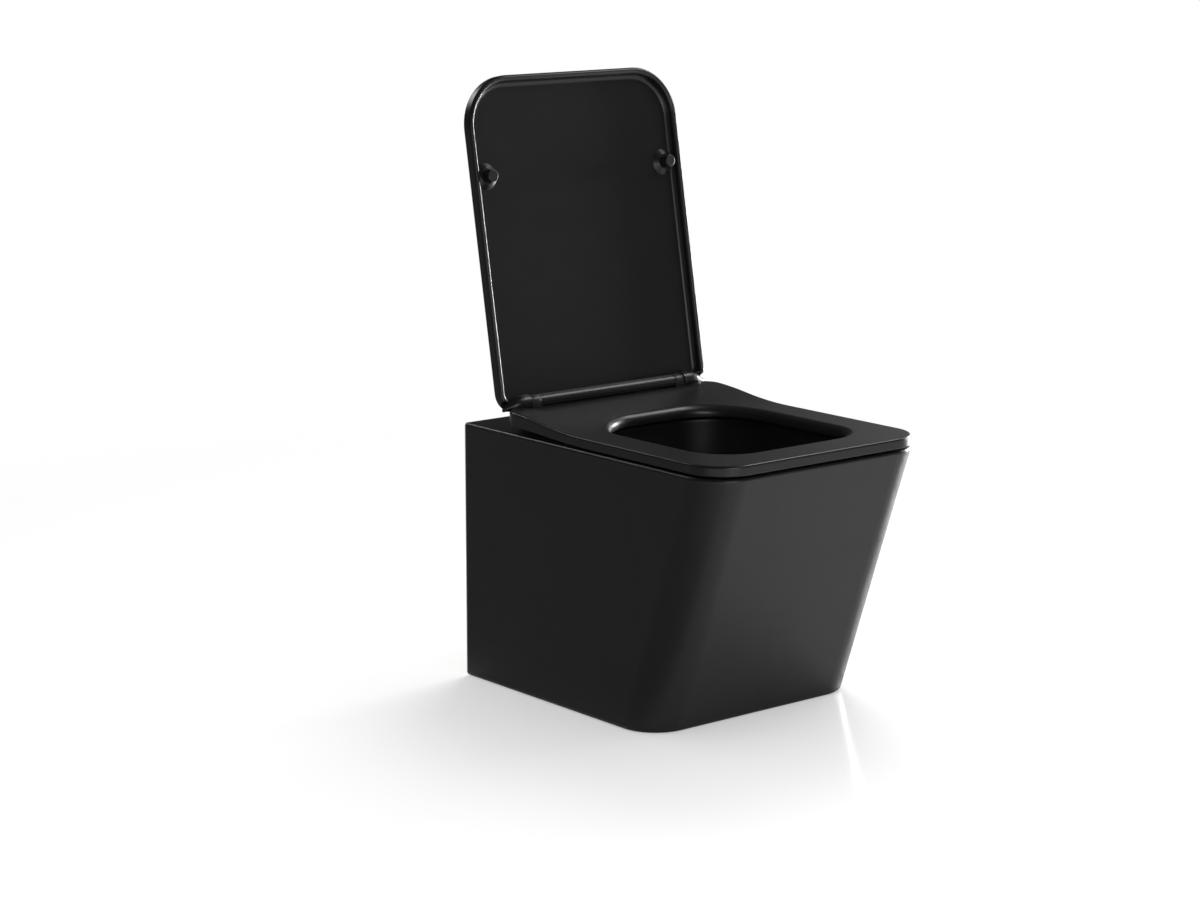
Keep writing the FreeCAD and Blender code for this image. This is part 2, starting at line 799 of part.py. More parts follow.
def make_tray():
    outline = rounded(lid_half, lid_rear, lid_front, lid_rear_corner_r, lid_front_corner_r, lid_lip)
    tray = prism(outline, lid_depth)
    tray = tray.makeFillet(lid_back_edge_r, edges_where(tray, lies_high(lid_back)))
    tray = tray.makeFillet(lid_lip_r, edges_where(tray, lies_low(lid_lip)))
    half = lid_half - lid_lip_width
    y_rear = lid_rear - lid_lip_width
    y_front = lid_front + lid_lip_width
    r_rear = lid_rear_corner_r - lid_lip_width
    r_front = lid_front_corner_r - lid_lip_width
    start = lid_lip - past
    cavity = prism(rounded(half, y_rear, y_front, r_rear, r_front, start), lid_inside - start)
    cavity = cavity.makeFillet(lid_cove_r, edges_where(cavity, lies_high(lid_inside)))
    tray = tray.cut(cavity)
    on_lip = lies_low(lid_lip)
    inner_lip = edges_where(tray, lambda e: on_lip(e) and within(e, half, y_front, y_rear))
    return tray.makeFillet(lid_inner_lip_r, inner_lip)


def make_lid():
    lid = make_tray()
    boss_point = Vector(lid_buffer_x, lid_buffer_y, boss_end)
    boss = Part.makeCone(boss_end_r, boss_base_r, boss_height, boss_point, z_way)
    stem_hole = rod_z(boss_end - past, boss_end + buffer_stem, buffer_stem_r, lid_buffer_x, lid_buffer_y)
    ear_room = make_ear_room()
    lid = lid.fuse([boss, mirrored(boss)])
    lid = lid.cut([stem_hole, mirrored(stem_hole), ear_room, mirrored(ear_room)])
    web = block(-barrel_half, barrel_half, axis_y - barrel_r / 2, axis_y + lid_rear_from_axis / 2,
                axis_z, lid_inside + lid_panel / 2)
    lid = lid.fuse([rod_x(-barrel_half, barrel_half, barrel_r), web]).removeSplitter()
    lid = lid.cut(rod_x(-barrel_half - side_gap, -barrel_half + lid_damper_length, sleeve_r))
    lid = open_lid(lid.cut(rod_x(barrel_half + side_gap, barrel_half - pin_reach, sleeve_r)))
    for side in (-1, 1):
        inner = side * (barrel_half + side_gap / 2)
        low = axis_z - lid_rear_from_axis - swing_r
        lid = lid.cut(block(inner, side * ear_start, axis_y - swing_r, axis_y + swing_r, low, axis_z))
    return lid


def make_lid_buffer():
    head = rod_z(buffer_end, boss_end, buffer_r, lid_buffer_x, lid_buffer_y)
    head = head.makeFillet(buffer_edge_r, edges_where(head, lies_low(buffer_end)))
    return head.fuse(rod_z(boss_end, boss_end + buffer_stem, buffer_stem_r, lid_buffer_x, lid_buffer_y))


# Every piece in its place, with the lid open and the seat down

save("pan_shell", make_pan_shell())
save("pan_deck", make_pan_deck())
save("pan_bowl", make_pan_bowl())
save("pan_trap", make_pan_trap())
save("pan_inlet", make_pan_inlet())
save("stud_bushes", both(make_stud_bush()))
save("stud_washers", both(make_stud_washer()))
save("stud_nuts", both(make_stud_nut()))
save("hinge_gaskets", both(make_gasket()))
save("hinge_plate_right", make_plate())
save("hinge_plate_left", mirrored(make_plate()))
save("hinge_post_right", make_post())
save("hinge_post_left", mirrored(make_post()))
save("hinge_bolts", both(make_hinge_bolt()))
save("anchor_sleeves", both(make_anchor_sleeve()))
save("anchor_nuts", both(make_anchor_nut()))

save("hinge_block_right", make_hinge_block(False, True))
save("hinge_block_left", mirrored(make_hinge_block(True, False)))
save("catch_clip_right", make_clip())
save("catch_clip_left", mirrored(make_clip()))
save("release_button_right", make_button())
save("release_button_left", mirrored(make_button()))

save("lid_pivot_pin", make_pin(block_inner, -1))
save("seat_pivot_pin", make_pin(-block_outer, -1))
save("lid_damper_rotor", make_rotor(-block_inner, 1))
save("seat_damper_rotor", make_rotor(block_outer, 1))

save("seat_ring", make_seat())
save("seat_buffers", Part.makeCompound(seat_buffer_boxes(0)))
save("seat_pivot_bush", make_bush(-ear_start, -1))
save("seat_damper_case", make_damper_case(ear_start, 1, seat_damper_length))
save("seat_damper_cap", make_damper_cap(ear_start, 1))

save("lid", make_lid())
save("lid_buffers", open_lid(both(make_lid_buffer())))
save("lid_pivot_bush", open_lid(make_bush(barrel_half, -1)))
save("lid_damper_case", open_lid(make_damper_case(-barrel_half, 1, lid_damper_length)))
save("lid_damper_cap", open_lid(make_damper_cap(-barrel_half, 1)))
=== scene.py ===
import json
import math
import bpy
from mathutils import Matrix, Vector


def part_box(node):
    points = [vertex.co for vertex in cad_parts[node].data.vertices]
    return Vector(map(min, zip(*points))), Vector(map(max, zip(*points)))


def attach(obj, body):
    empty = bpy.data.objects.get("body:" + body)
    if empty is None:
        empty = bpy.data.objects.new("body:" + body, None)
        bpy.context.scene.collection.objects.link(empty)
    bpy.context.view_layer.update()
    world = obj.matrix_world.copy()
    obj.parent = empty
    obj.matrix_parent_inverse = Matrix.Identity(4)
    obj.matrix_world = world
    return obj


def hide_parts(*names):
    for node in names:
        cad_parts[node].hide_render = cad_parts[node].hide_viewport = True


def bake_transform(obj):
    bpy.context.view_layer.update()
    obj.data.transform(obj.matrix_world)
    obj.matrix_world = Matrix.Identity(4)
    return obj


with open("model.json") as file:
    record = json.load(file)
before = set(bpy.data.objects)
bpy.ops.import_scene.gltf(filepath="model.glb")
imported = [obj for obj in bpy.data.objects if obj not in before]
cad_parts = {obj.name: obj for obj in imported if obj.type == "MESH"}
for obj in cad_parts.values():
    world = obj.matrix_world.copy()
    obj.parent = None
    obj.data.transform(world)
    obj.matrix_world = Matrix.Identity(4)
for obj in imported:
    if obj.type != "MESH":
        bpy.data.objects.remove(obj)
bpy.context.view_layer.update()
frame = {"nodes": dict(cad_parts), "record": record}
nodes = frame["nodes"]
bpy.context.scene.view_settings.view_transform = "Standard"
print("frame loaded:", len(nodes), "pieces from the solid model")


# small helpers for node trees

def addNode(tree, kind, place=(0, 0), **settings):
    node = tree.nodes.new(kind)
    node.location = place
    for key, value in settings.items():
        setattr(node, key, value)
    return node


def setInputs(node, **values):
    # a socket's name has _ for each blank
    for key, value in values.items():
        node.inputs[key.replace("_", " ")].default_value = value
    return node


def link(tree, fromNode, fromSocket, toNode, toSocket):
    tree.links.new(fromNode.outputs[fromSocket], toNode.inputs[toSocket])


def feed(tree, socket, value):
    # links a socket, or sets a plain value
    if isinstance(value, bpy.types.NodeSocket):
        tree.links.new(value, socket)
    else:
        socket.default_value = value


def newGroup(name, inputs, outputs):
    group = bpy.data.node_groups.new(name, "ShaderNodeTree")
    for label, kind, value in inputs:
        socket = group.interface.new_socket(name=label, in_out="INPUT", socket_type=kind)
        if value is not None:
            socket.default_value = value
    for label in outputs:
        group.interface.new_socket(name=label, in_out="OUTPUT", socket_type="NodeSocketFloat")
    return group, addNode(group, "NodeGroupInput", (-600, 0)), addNode(group, "NodeGroupOutput", (600, 0))


def newMaterial(name):
    material = bpy.data.materials.new(name)
    material.use_nodes = True
    tree = material.node_tree
    return material, tree, tree.nodes["Principled BSDF"]


def placeGroup(tree, group, vector, place, **values):
    node = addNode(tree, "ShaderNodeGroup", place, node_tree=group)
    setInputs(node, **values)
    tree.links.new(vector, node.inputs["Vector"])
    return node


def ramp(tree, value, low, high, place=(-300, 0)):
    # spreads a 0 to 1 value over low to high
    node = setInputs(addNode(tree, "ShaderNodeMapRange", place), To_Min=low, To_Max=high)
    tree.links.new(value, node.inputs["Value"])
    return node.outputs["Result"]


def smoothStep(tree, value, start, end, place, **ends):
    # goes gently from 0 at start to 1 at end, or between To_Min and To_Max
    node = addNode(tree, "ShaderNodeMapRange", place, interpolation_type="SMOOTHSTEP")
    setInputs(node, From_Min=start, From_Max=end, **ends)
    tree.links.new(value, node.inputs["Value"])
    return node.outputs["Result"]


def mixNumber(tree, mask, first, second, place):
    node = addNode(tree, "ShaderNodeMix", place)
    for socket, value in (("Factor", mask), ("A", first), ("B", second)):
        feed(tree, node.inputs[socket], value)
    return node.outputs["Result"]


def mixColour(tree, mask, first, second, place=(-200, 200)):
    # each of the two is a plain colour or a socket
    node = addNode(tree, "ShaderNodeMix", place, data_type="RGBA")
    for index, colour in ((6, first), (7, second)):
        feed(tree, node.inputs[index], (*colour, 1) if isinstance(colour, tuple) else colour)
    tree.links.new(mask, node.inputs[0])
    return node.outputs[2]


def mathNode(tree, operation, first, second=None, place=(-400, -200), clamp=False):
    node = addNode(tree, "ShaderNodeMath", place, operation=operation, use_clamp=clamp)
    for index, value in enumerate((first, second)):
        if value is not None:
            feed(tree, node.inputs[index], value)
    return node.outputs[0]


def addBump(tree, shader, height, distance):
    bump = setInputs(addNode(tree, "ShaderNodeBump", (-200, -300)), Distance=distance)
    tree.links.new(height, bump.inputs["Height"])
    link(tree, bump, "Normal", shader, "Normal")


# effects that several finishes share

skinSet = {
    "grain": {"Detail": 3.0, "Roughness": 0.55},
    "mottle": {"Detail": 2.0, "Roughness": 0.5},
    "marks": {"Detail": 6.0, "Roughness": 0.62, "Distortion": 0.8},
    "marksFiner": 2.7,  # times the mottling's scale
    "marksFrom": 0.52,
    "marksTo": 0.75,
}


def makeSatinGroup():
    # fine skin of a moulded or sprayed surface, slow mottling and faint hand marks
    group, inside, out = newGroup("satinSkin", [
        ("Vector", "NodeSocketVector", None),
        ("Grain Scale", "NodeSocketFloat", 900.0),
        ("Mottle Scale", "NodeSocketFloat", 9.0),
    ], ["Grain", "Mottle", "Marks"])
    grain = setInputs(addNode(group, "ShaderNodeTexNoise", (-300, 250)), **skinSet["grain"])
    mottle = setInputs(addNode(group, "ShaderNodeTexNoise", (-300, 0)), **skinSet["mottle"])
    marks = setInputs(addNode(group, "ShaderNodeTexNoise", (-300, -250)), **skinSet["marks"])
    for texture in (grain, mottle, marks):
        link(group, inside, "Vector", texture, "Vector")
    link(group, inside, "Grain Scale", grain, "Scale")
    link(group, inside, "Mottle Scale", mottle, "Scale")
    finer = mathNode(group, "MULTIPLY", inside.outputs["Mottle Scale"], skinSet["marksFiner"], (-450, -250))
    group.links.new(finer, marks.inputs["Scale"])
    spread = addNode(group, "ShaderNodeMapRange", (0, -250))
    setInputs(spread, From_Min=skinSet["marksFrom"], From_Max=skinSet["marksTo"])
    link(group, marks, "Fac", spread, "Value")
    link(group, grain, "Fac", out, "Grain")
    link(group, mottle, "Fac", out, "Mottle")
    link(group, spread, "Result", out, "Marks")
    return group


def makePinholeGroup():
    # tiny sunken dots left in a glaze by the kiln
    group, inside, out = newGroup("kilnPinholes", [
        ("Vector", "NodeSocketVector", None),
        ("Density", "NodeSocketFloat", 60.0),
        ("Size", "NodeSocketFloat", 0.05),
    ], ["Mask"])
    cells = addNode(group, "ShaderNodeTexVoronoi", (-300, 0))
    link(group, inside, "Vector", cells, "Vector")
    link(group, inside, "Density", cells, "Scale")
    edge = addNode(group, "ShaderNodeMapRange", (0, 0), interpolation_type="SMOOTHSTEP")
    setInputs(edge, From_Min=0.0, To_Min=1.0, To_Max=0.0)
    link(group, cells, "Distance", edge, "Value")
    link(group, inside, "Size", edge, "From Max")
    link(group, edge, "Result", out, "Mask")
    return group


lineSet = {
    "lines": {"Scale": 8.0, "Detail": 4.0, "Roughness": 0.7},
    "stain": {"Scale": 110.0, "Detail": 5.0, "Roughness": 0.6},
}


def makeLineGroup():
    # lines of a brushed, drawn or turned metal, stretched by Stretch
    group, inside, out = newGroup("toolLines", [
        ("Vector", "NodeSocketVector", None),
        ("Stretch", "NodeSocketVector", (400.0, 400.0, 20.0)),
    ], ["Lines", "Stain"])
    scaled = addNode(group, "ShaderNodeVectorMath", (-350, 100), operation="MULTIPLY")
    link(group, inside, "Vector", scaled, 0)
    link(group, inside, "Stretch", scaled, 1)
    lines = setInputs(addNode(group, "ShaderNodeTexNoise", (-150, 100)), **lineSet["lines"])
    link(group, scaled, "Vector", lines, "Vector")
    stain = setInputs(addNode(group, "ShaderNodeTexNoise", (-150, -150)), **lineSet["stain"])
    link(group, inside, "Vector", stain, "Vector")
    link(group, lines, "Fac", out, "Lines")
    link(group, stain, "Fac", out, "Stain")
    return group


satinSkin = makeSatinGroup()
kilnPinholes = makePinholeGroup()
toolLines = makeLineGroup()


# fired pan: matt black glaze, raw clay where the glaze was wiped off or never reached
glazeLook = {
    "black": (0.0095, 0.0095, 0.0099),
    "blackDeep": (0.0075, 0.0075, 0.0078),
    "roughLow": 0.38,
    "roughHigh": 0.45,
    "shine": 0.42,
    "mottleScale": 7.0,
    "peelScale": 420.0,
    "peelDepth": 0.00003,
    "pinholeDensity": 55.0,
    "pinholeSize": 0.035,
    "clay": (0.46, 0.40, 0.33),
    "claySpeck": (0.30, 0.25, 0.20),
    "clayRough": 0.9,
    "clayEdge": 400.0,  # how sharply the glaze ends
    "wipedFrom": -0.0022,  # depths of the wiped edge at the wall
    "wipedTo": -0.0004,
    "hollow": {"half": 0.172, "front": -0.13, "foot": -0.247, "top": 0.06},
}


def insideHollow(tree, parts, hollow):
    # 1 within the pan's hollow, 0 on its outer skin
    width = mathNode(tree, "ABSOLUTE", parts.outputs["X"], place=(-850, -700))
    tests = [(width, "LESS_THAN", hollow["half"]),
             (parts.outputs["Y"], "GREATER_THAN", hollow["front"]),
             (parts.outputs["Z"], "GREATER_THAN", hollow["foot"]),
             (parts.outputs["Z"], "LESS_THAN", hollow["top"])]
    inside = 1.0
    for value, test, limit in tests:
        passed = mathNode(tree, test, value, limit, (-700, -700))
        inside = mathNode(tree, "MULTIPLY", inside, passed, (-550, -700))
    return inside


def findClay(tree, coords, centre, along, rawSide, hollow):
    # faces that look away from the line through centre (rawSide 1) or towards it (-1),
    # the edge at the wall, and all of the hollow
    where = coords.outputs["Object"]
    offset = addNode(tree, "ShaderNodeVectorMath", (-1000, -300), operation="SUBTRACT")
    offset.inputs[1].default_value = centre
    tree.links.new(where, offset.inputs[0])
    across = addNode(tree, "ShaderNodeVectorMath", (-850, -300), operation="MULTIPLY")
    across.inputs[1].default_value = tuple(1.0 - a for a in along)
    link(tree, offset, "Vector", across, 0)
    facing = addNode(tree, "ShaderNodeVectorMath", (-700, -300), operation="DOT_PRODUCT")
    link(tree, across, "Vector", facing, 0)
    link(tree, coords, "Normal", facing, 1)
    sharpness = rawSide * glazeLook["clayEdge"]
    hidden = mathNode(tree, "MULTIPLY", facing.outputs["Value"], sharpness, (-550, -300), clamp=True)
    parts = addNode(tree, "ShaderNodeSeparateXYZ", (-1000, -500))
    tree.links.new(where, parts.inputs["Vector"])
    wiped = smoothStep(tree, parts.outputs["Y"], glazeLook["wipedFrom"], glazeLook["wipedTo"], (-800, -500))
    raw = mathNode(tree, "MAXIMUM", hidden, wiped, (-400, -400))
    if hollow:
        raw = mathNode(tree, "MAXIMUM", raw, insideHollow(tree, parts, hollow), (-300, -500))
    return raw


def makeGlaze(name, centre, along, rawSide, hollow=None):
    material, tree, shader = newMaterial(name)
    coords = addNode(tree, "ShaderNodeTexCoord", (-1200, 0))
    where = coords.outputs["Object"]
    skin = placeGroup(tree, satinSkin, where, (-900, 200),
                      Grain_Scale=glazeLook["peelScale"], Mottle_Scale=glazeLook["mottleScale"])
    holes = placeGroup(tree, kilnPinholes, where, (-900, -50),
                       Density=glazeLook["pinholeDensity"], Size=glazeLook["pinholeSize"])
    raw = findClay(tree, coords, centre, along, rawSide, hollow)
    glaze = mixColour(tree, skin.outputs["Mottle"], glazeLook["blackDeep"], glazeLook["black"], (-500, 300))
    clay = mixColour(tree, skin.outputs["Marks"], glazeLook["clay"], glazeLook["claySpeck"], (-500, 100))
    tree.links.new(mixColour(tree, raw, glaze, clay), shader.inputs["Base Color"])
    shader.inputs["Specular IOR Level"].default_value = glazeLook["shine"]
    satin = ramp(tree, skin.outputs["Marks"], glazeLook["roughLow"], glazeLook["roughHigh"], (-500, -100))
    rough = mixNumber(tree, raw, satin, glazeLook["clayRough"], (-200, 0))
    tree.links.new(rough, shader.inputs["Roughness"])
    sunk = mathNode(tree, "SUBTRACT", skin.outputs["Grain"], holes.outputs["Mask"], (-400, -550))
    addBump(tree, shader, sunk, glazeLook["peelDepth"])
    return material


aroundPoint, alongY, alongXY = (0, 0, 0), (0, 1, 0), (1, 1, 0)
glazes = {
    "pan_shell": makeGlaze("glaze_shell", (0, -0.14, -0.08), aroundPoint, -1, glazeLook["hollow"]),
    "pan_deck": makeGlaze("glaze_deck", (0, 0, 1), alongXY, 1),
    "pan_bowl": makeGlaze("glaze_bowl", (0, -0.29, 0.05), aroundPoint, 1),
    "pan_trap": makeGlaze("glaze_trap", (0, 0, -0.1), alongY, 1),
    "pan_inlet": makeGlaze("glaze_inlet", (0, 0, 0.035), alongY, 1),
}
print("glaze ready")


# mouldings: pressed duroplast of seat and lid, hinge blocks, small grey parts, rubber
mouldedLook = {
    "black_duroplast_satin": {"light": (0.0092, 0.0092, 0.0095), "dark": (0.0076, 0.0076, 0.0079),
                              "rough": (0.32, 0.345), "shine": 0.4,
                              "mottleScale": 8.0, "grainScale": 1500.0, "grainDepth": 0.000008},
    "black_plastic_eroded": {"light": (0.013, 0.013, 0.0135), "dark": (0.009, 0.009, 0.0095),
                             "rough": (0.38, 0.5), "shine": 0.45,
                             "mottleScale": 60.0, "grainScale": 2600.0, "grainDepth": 0.00002},
    "grey_acetal": {"light": (0.36, 0.365, 0.37), "dark": (0.30, 0.305, 0.31),
                    "rough": (0.36, 0.48), "shine": 0.5,
                    "mottleScale": 80.0, "grainScale": 1800.0, "grainDepth": 0.00001},
    "black_rubber_soft": {"light": (0.011, 0.011, 0.0113), "dark": (0.008, 0.008, 0.0083),
                          "rough": (0.36, 0.48), "shine": 0.45,
                          "mottleScale": 70.0, "grainScale": 2200.0, "grainDepth": 0.00002},
}


def makeMoulded(name):
    look = mouldedLook[name]
    material, tree, shader = newMaterial(name)
    coords = addNode(tree, "ShaderNodeTexCoord", (-1000, 0))
    skin = placeGroup(tree, satinSkin, coords.outputs["Object"], (-800, 0),
                      Grain_Scale=look["grainScale"], Mottle_Scale=look["mottleScale"])
    colour = mixColour(tree, skin.outputs["Mottle"], look["dark"], look["light"])
    tree.links.new(colour, shader.inputs["Base Color"])
    tree.links.new(ramp(tree, skin.outputs["Marks"], *look["rough"]), shader.inputs["Roughness"])
    shader.inputs["Specular IOR Level"].default_value = look["shine"]
    addBump(tree, shader, skin.outputs["Grain"], look["grainDepth"])
    return material


# metals: plated fixings, wire of the catch springs, turned anchor nuts
metalLook = {
    "steel_plated": {"light": (0.62, 0.62, 0.63), "dark": (0.44, 0.44, 0.45), "rough": (0.26, 0.42),
                     "stretch": (300.0, 12.0, 300.0), "lineDepth": 0.00001},
    "spring_wire": {"light": (0.50, 0.50, 0.51), "dark": (0.33, 0.33, 0.34), "rough": (0.22, 0.36),
                    "stretch": (500.0, 25.0, 500.0), "lineDepth": 0.00001},
    "brass_turned": {"light": (0.71, 0.55, 0.27), "dark": (0.52, 0.38, 0.17), "rough": (0.24, 0.40),
                     "stretch": (20.0, 20.0, 700.0), "lineDepth": 0.00001},
}


def makeMetal(name):
    look = metalLook[name]
    material, tree, shader = newMaterial(name)
    coords = addNode(tree, "ShaderNodeTexCoord", (-1000, 0))
    brushed = placeGroup(tree, toolLines, coords.outputs["Object"], (-800, 0), Stretch=look["stretch"])
    colour = mixColour(tree, brushed.outputs["Stain"], look["dark"], look["light"])
    tree.links.new(colour, shader.inputs["Base Color"])
    shader.inputs["Metallic"].default_value = 1.0
    tree.links.new(ramp(tree, brushed.outputs["Lines"], *look["rough"]), shader.inputs["Roughness"])
    addBump(tree, shader, brushed.outputs["Lines"], look["lineDepth"])
    return material


finishOf = {
    "black_duroplast": makeMoulded("black_duroplast_satin"),
    "black_plastic": makeMoulded("black_plastic_eroded"),
    "grey_plastic": makeMoulded("grey_acetal"),
    "black_rubber": makeMoulded("black_rubber_soft"),
    "steel": makeMetal("steel_plated"),
    "spring_steel": makeMetal("spring_wire"),
    "brass": makeMetal("brass_turned"),
}
print("finishes ready")


# finishes onto the pieces

def dress(piece, material):
    piece.data.materials.clear()
    piece.data.materials.append(material)


for part in frame["record"]["subparts"]:
    name = part["node"]
    dress(nodes[name], glazes[name] if name in glazes else finishOf[part["material_slot"]])

# metal and small moulded edges catch the light on a narrow round
weldDistance = 0.00001
edgeSet = {
    "radius": {"hinge_plate_left": 0.0004, "hinge_plate_right": 0.0004, "stud_washers": 0.0003,
               "stud_nuts": 0.0006, "stud_bushes": 0.0004, "hinge_block_left": 0.0005,
               "hinge_block_right": 0.0005},
    "segments": 2,
    "fromAngle": 40,
}
for name, radius in edgeSet["radius"].items():
    weld = nodes[name].modifiers.new("weld", "WELD")
    weld.merge_threshold = weldDistance
    bevel = nodes[name].modifiers.new("softEdge", "BEVEL")
    bevel.width = radius
    bevel.segments = edgeSet["segments"]
    bevel.limit_method = "ANGLE"
    bevel.angle_limit = math.radians(edgeSet["fromAngle"])
print("pieces dressed")


# small features that repeat: grips on the buttons, ribs round the bolt anchors and under the seat's pads

def newTree(name, inputs):
    tree = bpy.data.node_groups.new(name, "GeometryNodeTree")
    tree.interface.new_socket(name="Places", in_out="INPUT", socket_type="NodeSocketGeometry")
    tree.interface.new_socket(name="Result", in_out="OUTPUT", socket_type="NodeSocketGeometry")
    shared = [("Count", "NodeSocketInt", 3), ("Step", "NodeSocketVector", (0, 0, 0.001))]
    for label, kind, value in shared + inputs:
        tree.interface.new_socket(name=label, in_out="INPUT", socket_type=kind).default_value = value
    tree.interface.new_socket(name="Finish", in_out="INPUT", socket_type="NodeSocketMaterial")
    return tree, addNode(tree, "NodeGroupInput", (-900, 0)), addNode(tree, "NodeGroupOutput", (900, 0))


def endRow(tree, inside, out, shape, extra=None):
    # repeats shape along a row that starts at each place, then adds what goes once at each place
    row = addNode(tree, "GeometryNodeMeshLine", (-500, 200), mode="OFFSET")
    link(tree, inside, "Count", row, "Count")
    link(tree, inside, "Step", row, "Offset")
    rows = addNode(tree, "GeometryNodeInstanceOnPoints", (-300, 200))
    link(tree, inside, "Places", rows, "Points")
    link(tree, row, "Mesh", rows, "Instance")
    points = addNode(tree, "GeometryNodeRealizeInstances", (-100, 200))
    link(tree, rows, "Instances", points, "Geometry")
    repeated = addNode(tree, "GeometryNodeInstanceOnPoints", (100, 200))
    link(tree, points, "Geometry", repeated, "Points")
    tree.links.new(shape, repeated.inputs["Instance"])
    whole = addNode(tree, "GeometryNodeJoinGeometry", (300, 200))
    link(tree, repeated, "Instances", whole, "Geometry")
    if extra:
        once = addNode(tree, "GeometryNodeInstanceOnPoints", (100, -100))
        link(tree, inside, "Places", once, "Points")
        tree.links.new(extra, once.inputs["Instance"])
        link(tree, once, "Instances", whole, "Geometry")
    real = addNode(tree, "GeometryNodeRealizeInstances", (500, 200))
    link(tree, whole, "Geometry", real, "Geometry")
    painted = addNode(tree, "GeometryNodeSetMaterial", (700, 200))
    link(tree, real, "Geometry", painted, "Geometry")
    link(tree, inside, "Finish", painted, "Material")
    link(tree, painted, "Geometry", out, "Result")
    return tree


def sweep(tree, inside, path):
    # round bar of the tree's Thickness along a path, closed at its ends
    profile = setInputs(addNode(tree, "GeometryNodeCurvePrimitiveCircle", (-600, -400)), Resolution=10)
    link(tree, inside, "Thickness", profile, "Radius")
    bar = setInputs(addNode(tree, "GeometryNodeCurveToMesh", (-300, -300)), Fill_Caps=True)
    tree.links.new(path, bar.inputs["Curve"])
    link(tree, profile, "Curve", bar, "Profile Curve")
    return bar.outputs["Mesh"]


def straightPath(tree, inside):
    # along X, with its middle at the place
    path = addNode(tree, "GeometryNodeCurvePrimitiveLine", (-500, -200))
    for end, share in (("Start", -0.5), ("End", 0.5)):
        place = addNode(tree, "ShaderNodeCombineXYZ", (-650, -200))
        reach = mathNode(tree, "MULTIPLY", inside.outputs["Length"], share, (-800, -200))
        tree.links.new(reach, place.inputs["X"])
        link(tree, place, "Vector", path, end)
    return path.outputs["Curve"]


def makeGripTree():
    tree, inside, out = newTree("gripRidges", [
        ("Length", "NodeSocketFloat", 0.008),
        ("Thickness", "NodeSocketFloat", 0.0004),
    ])
    return endRow(tree, inside, out, sweep(tree, inside, straightPath(tree, inside)))


def makeRingTree():
    tree, inside, out = newTree("anchorRibs", [
        ("Radius", "NodeSocketFloat", 0.007),
        ("Thickness", "NodeSocketFloat", 0.0005),
    ])
    ring = setInputs(addNode(tree, "GeometryNodeCurvePrimitiveCircle", (-500, -200)), Resolution=40)
    link(tree, inside, "Radius", ring, "Radius")
    return endRow(tree, inside, out, sweep(tree, inside, ring.outputs["Curve"]))


def makePadTree():
    # a block with rounded corners, and ribs along it that take the seat's weight
    tree, inside, out = newTree("ribbedPad", [
        ("Length", "NodeSocketFloat", 0.03),
        ("Thickness", "NodeSocketFloat", 0.001),
        ("Block Length", "NodeSocketFloat", 0.034),
        ("Block Width", "NodeSocketFloat", 0.012),
        ("Block Height", "NodeSocketFloat", 0.0034),
        ("Corner", "NodeSocketFloat", 0.002),
        ("Block From Rib", "NodeSocketVector", (0, 0, 0)),
    ])
    outline = addNode(tree, "GeometryNodeCurvePrimitiveQuadrilateral", (-700, -600))
    link(tree, inside, "Block Length", outline, "Width")
    link(tree, inside, "Block Width", outline, "Height")
    rounded = addNode(tree, "GeometryNodeFilletCurve", (-550, -600), mode="POLY")
    setInputs(rounded, Count=6)
    link(tree, outline, "Curve", rounded, "Curve")
    link(tree, inside, "Corner", rounded, "Radius")
    face = addNode(tree, "GeometryNodeFillCurve", (-400, -600), mode="NGONS")
    link(tree, rounded, "Curve", face, "Curve")
    up = addNode(tree, "ShaderNodeCombineXYZ", (-400, -750))
    link(tree, inside, "Block Height", up, "Z")
    raised = addNode(tree, "GeometryNodeExtrudeMesh", (-250, -600))
    link(tree, face, "Mesh", raised, "Mesh")
    link(tree, up, "Vector", raised, "Offset")
    under = addNode(tree, "GeometryNodeFlipFaces", (-250, -800))
    link(tree, face, "Mesh", under, "Mesh")
    both = addNode(tree, "GeometryNodeJoinGeometry", (-100, -650))
    link(tree, raised, "Mesh", both, "Geometry")
    link(tree, under, "Mesh", both, "Geometry")
    sealed = setInputs(addNode(tree, "GeometryNodeMergeByDistance", (0, -650)), Distance=weldDistance)
    link(tree, both, "Geometry", sealed, "Geometry")
    placed = addNode(tree, "GeometryNodeTransform", (50, -500))
    link(tree, sealed, "Geometry", placed, "Geometry")
    link(tree, inside, "Block From Rib", placed, "Translation")
    ribs = sweep(tree, inside, straightPath(tree, inside))
    return endRow(tree, inside, out, ribs, placed.outputs["Geometry"])


def growPiece(name, tree, places, values, body, slot):
    # runs a tree on a few places and keeps the result as a plain mesh
    seeds = bpy.data.meshes.new(name + "_places")
    seeds.from_pydata(places, [], [])
    host = bpy.data.objects.new(name + "_host", seeds)
    bpy.context.scene.collection.objects.link(host)
    grow = host.modifiers.new("grow", "NODES")
    grow.node_group = tree
    values = {**values, "Finish": finishOf[slot]}
    for item in tree.interface.items_tree:
        if item.in_out == "INPUT" and item.name in values:
            grow[item.identifier] = values[item.name]
    grown = host.evaluated_get(bpy.context.evaluated_depsgraph_get())
    mesh = bpy.data.meshes.new_from_object(grown)
    mesh.name = name
    bpy.data.objects.remove(host)
    piece = bpy.data.objects.new(name, mesh)
    bpy.context.scene.collection.objects.link(piece)
    dress(piece, finishOf[slot])
    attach(piece, body)
    return piece


gripSet = {"Count": 3, "Step": (0, 0, 0.0013), "Length": 0.0076, "Thickness": 0.00035}
gripTree = makeGripTree()
for side in ("left", "right"):
    low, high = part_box("release_button_" + side)
    first = ((low[0] + high[0]) / 2, high[1], (low[2] + high[2]) / 2 - gripSet["Step"][2])
    growPiece("button_grip_" + side, gripTree, [first], gripSet, "button_" + side, "grey_plastic")

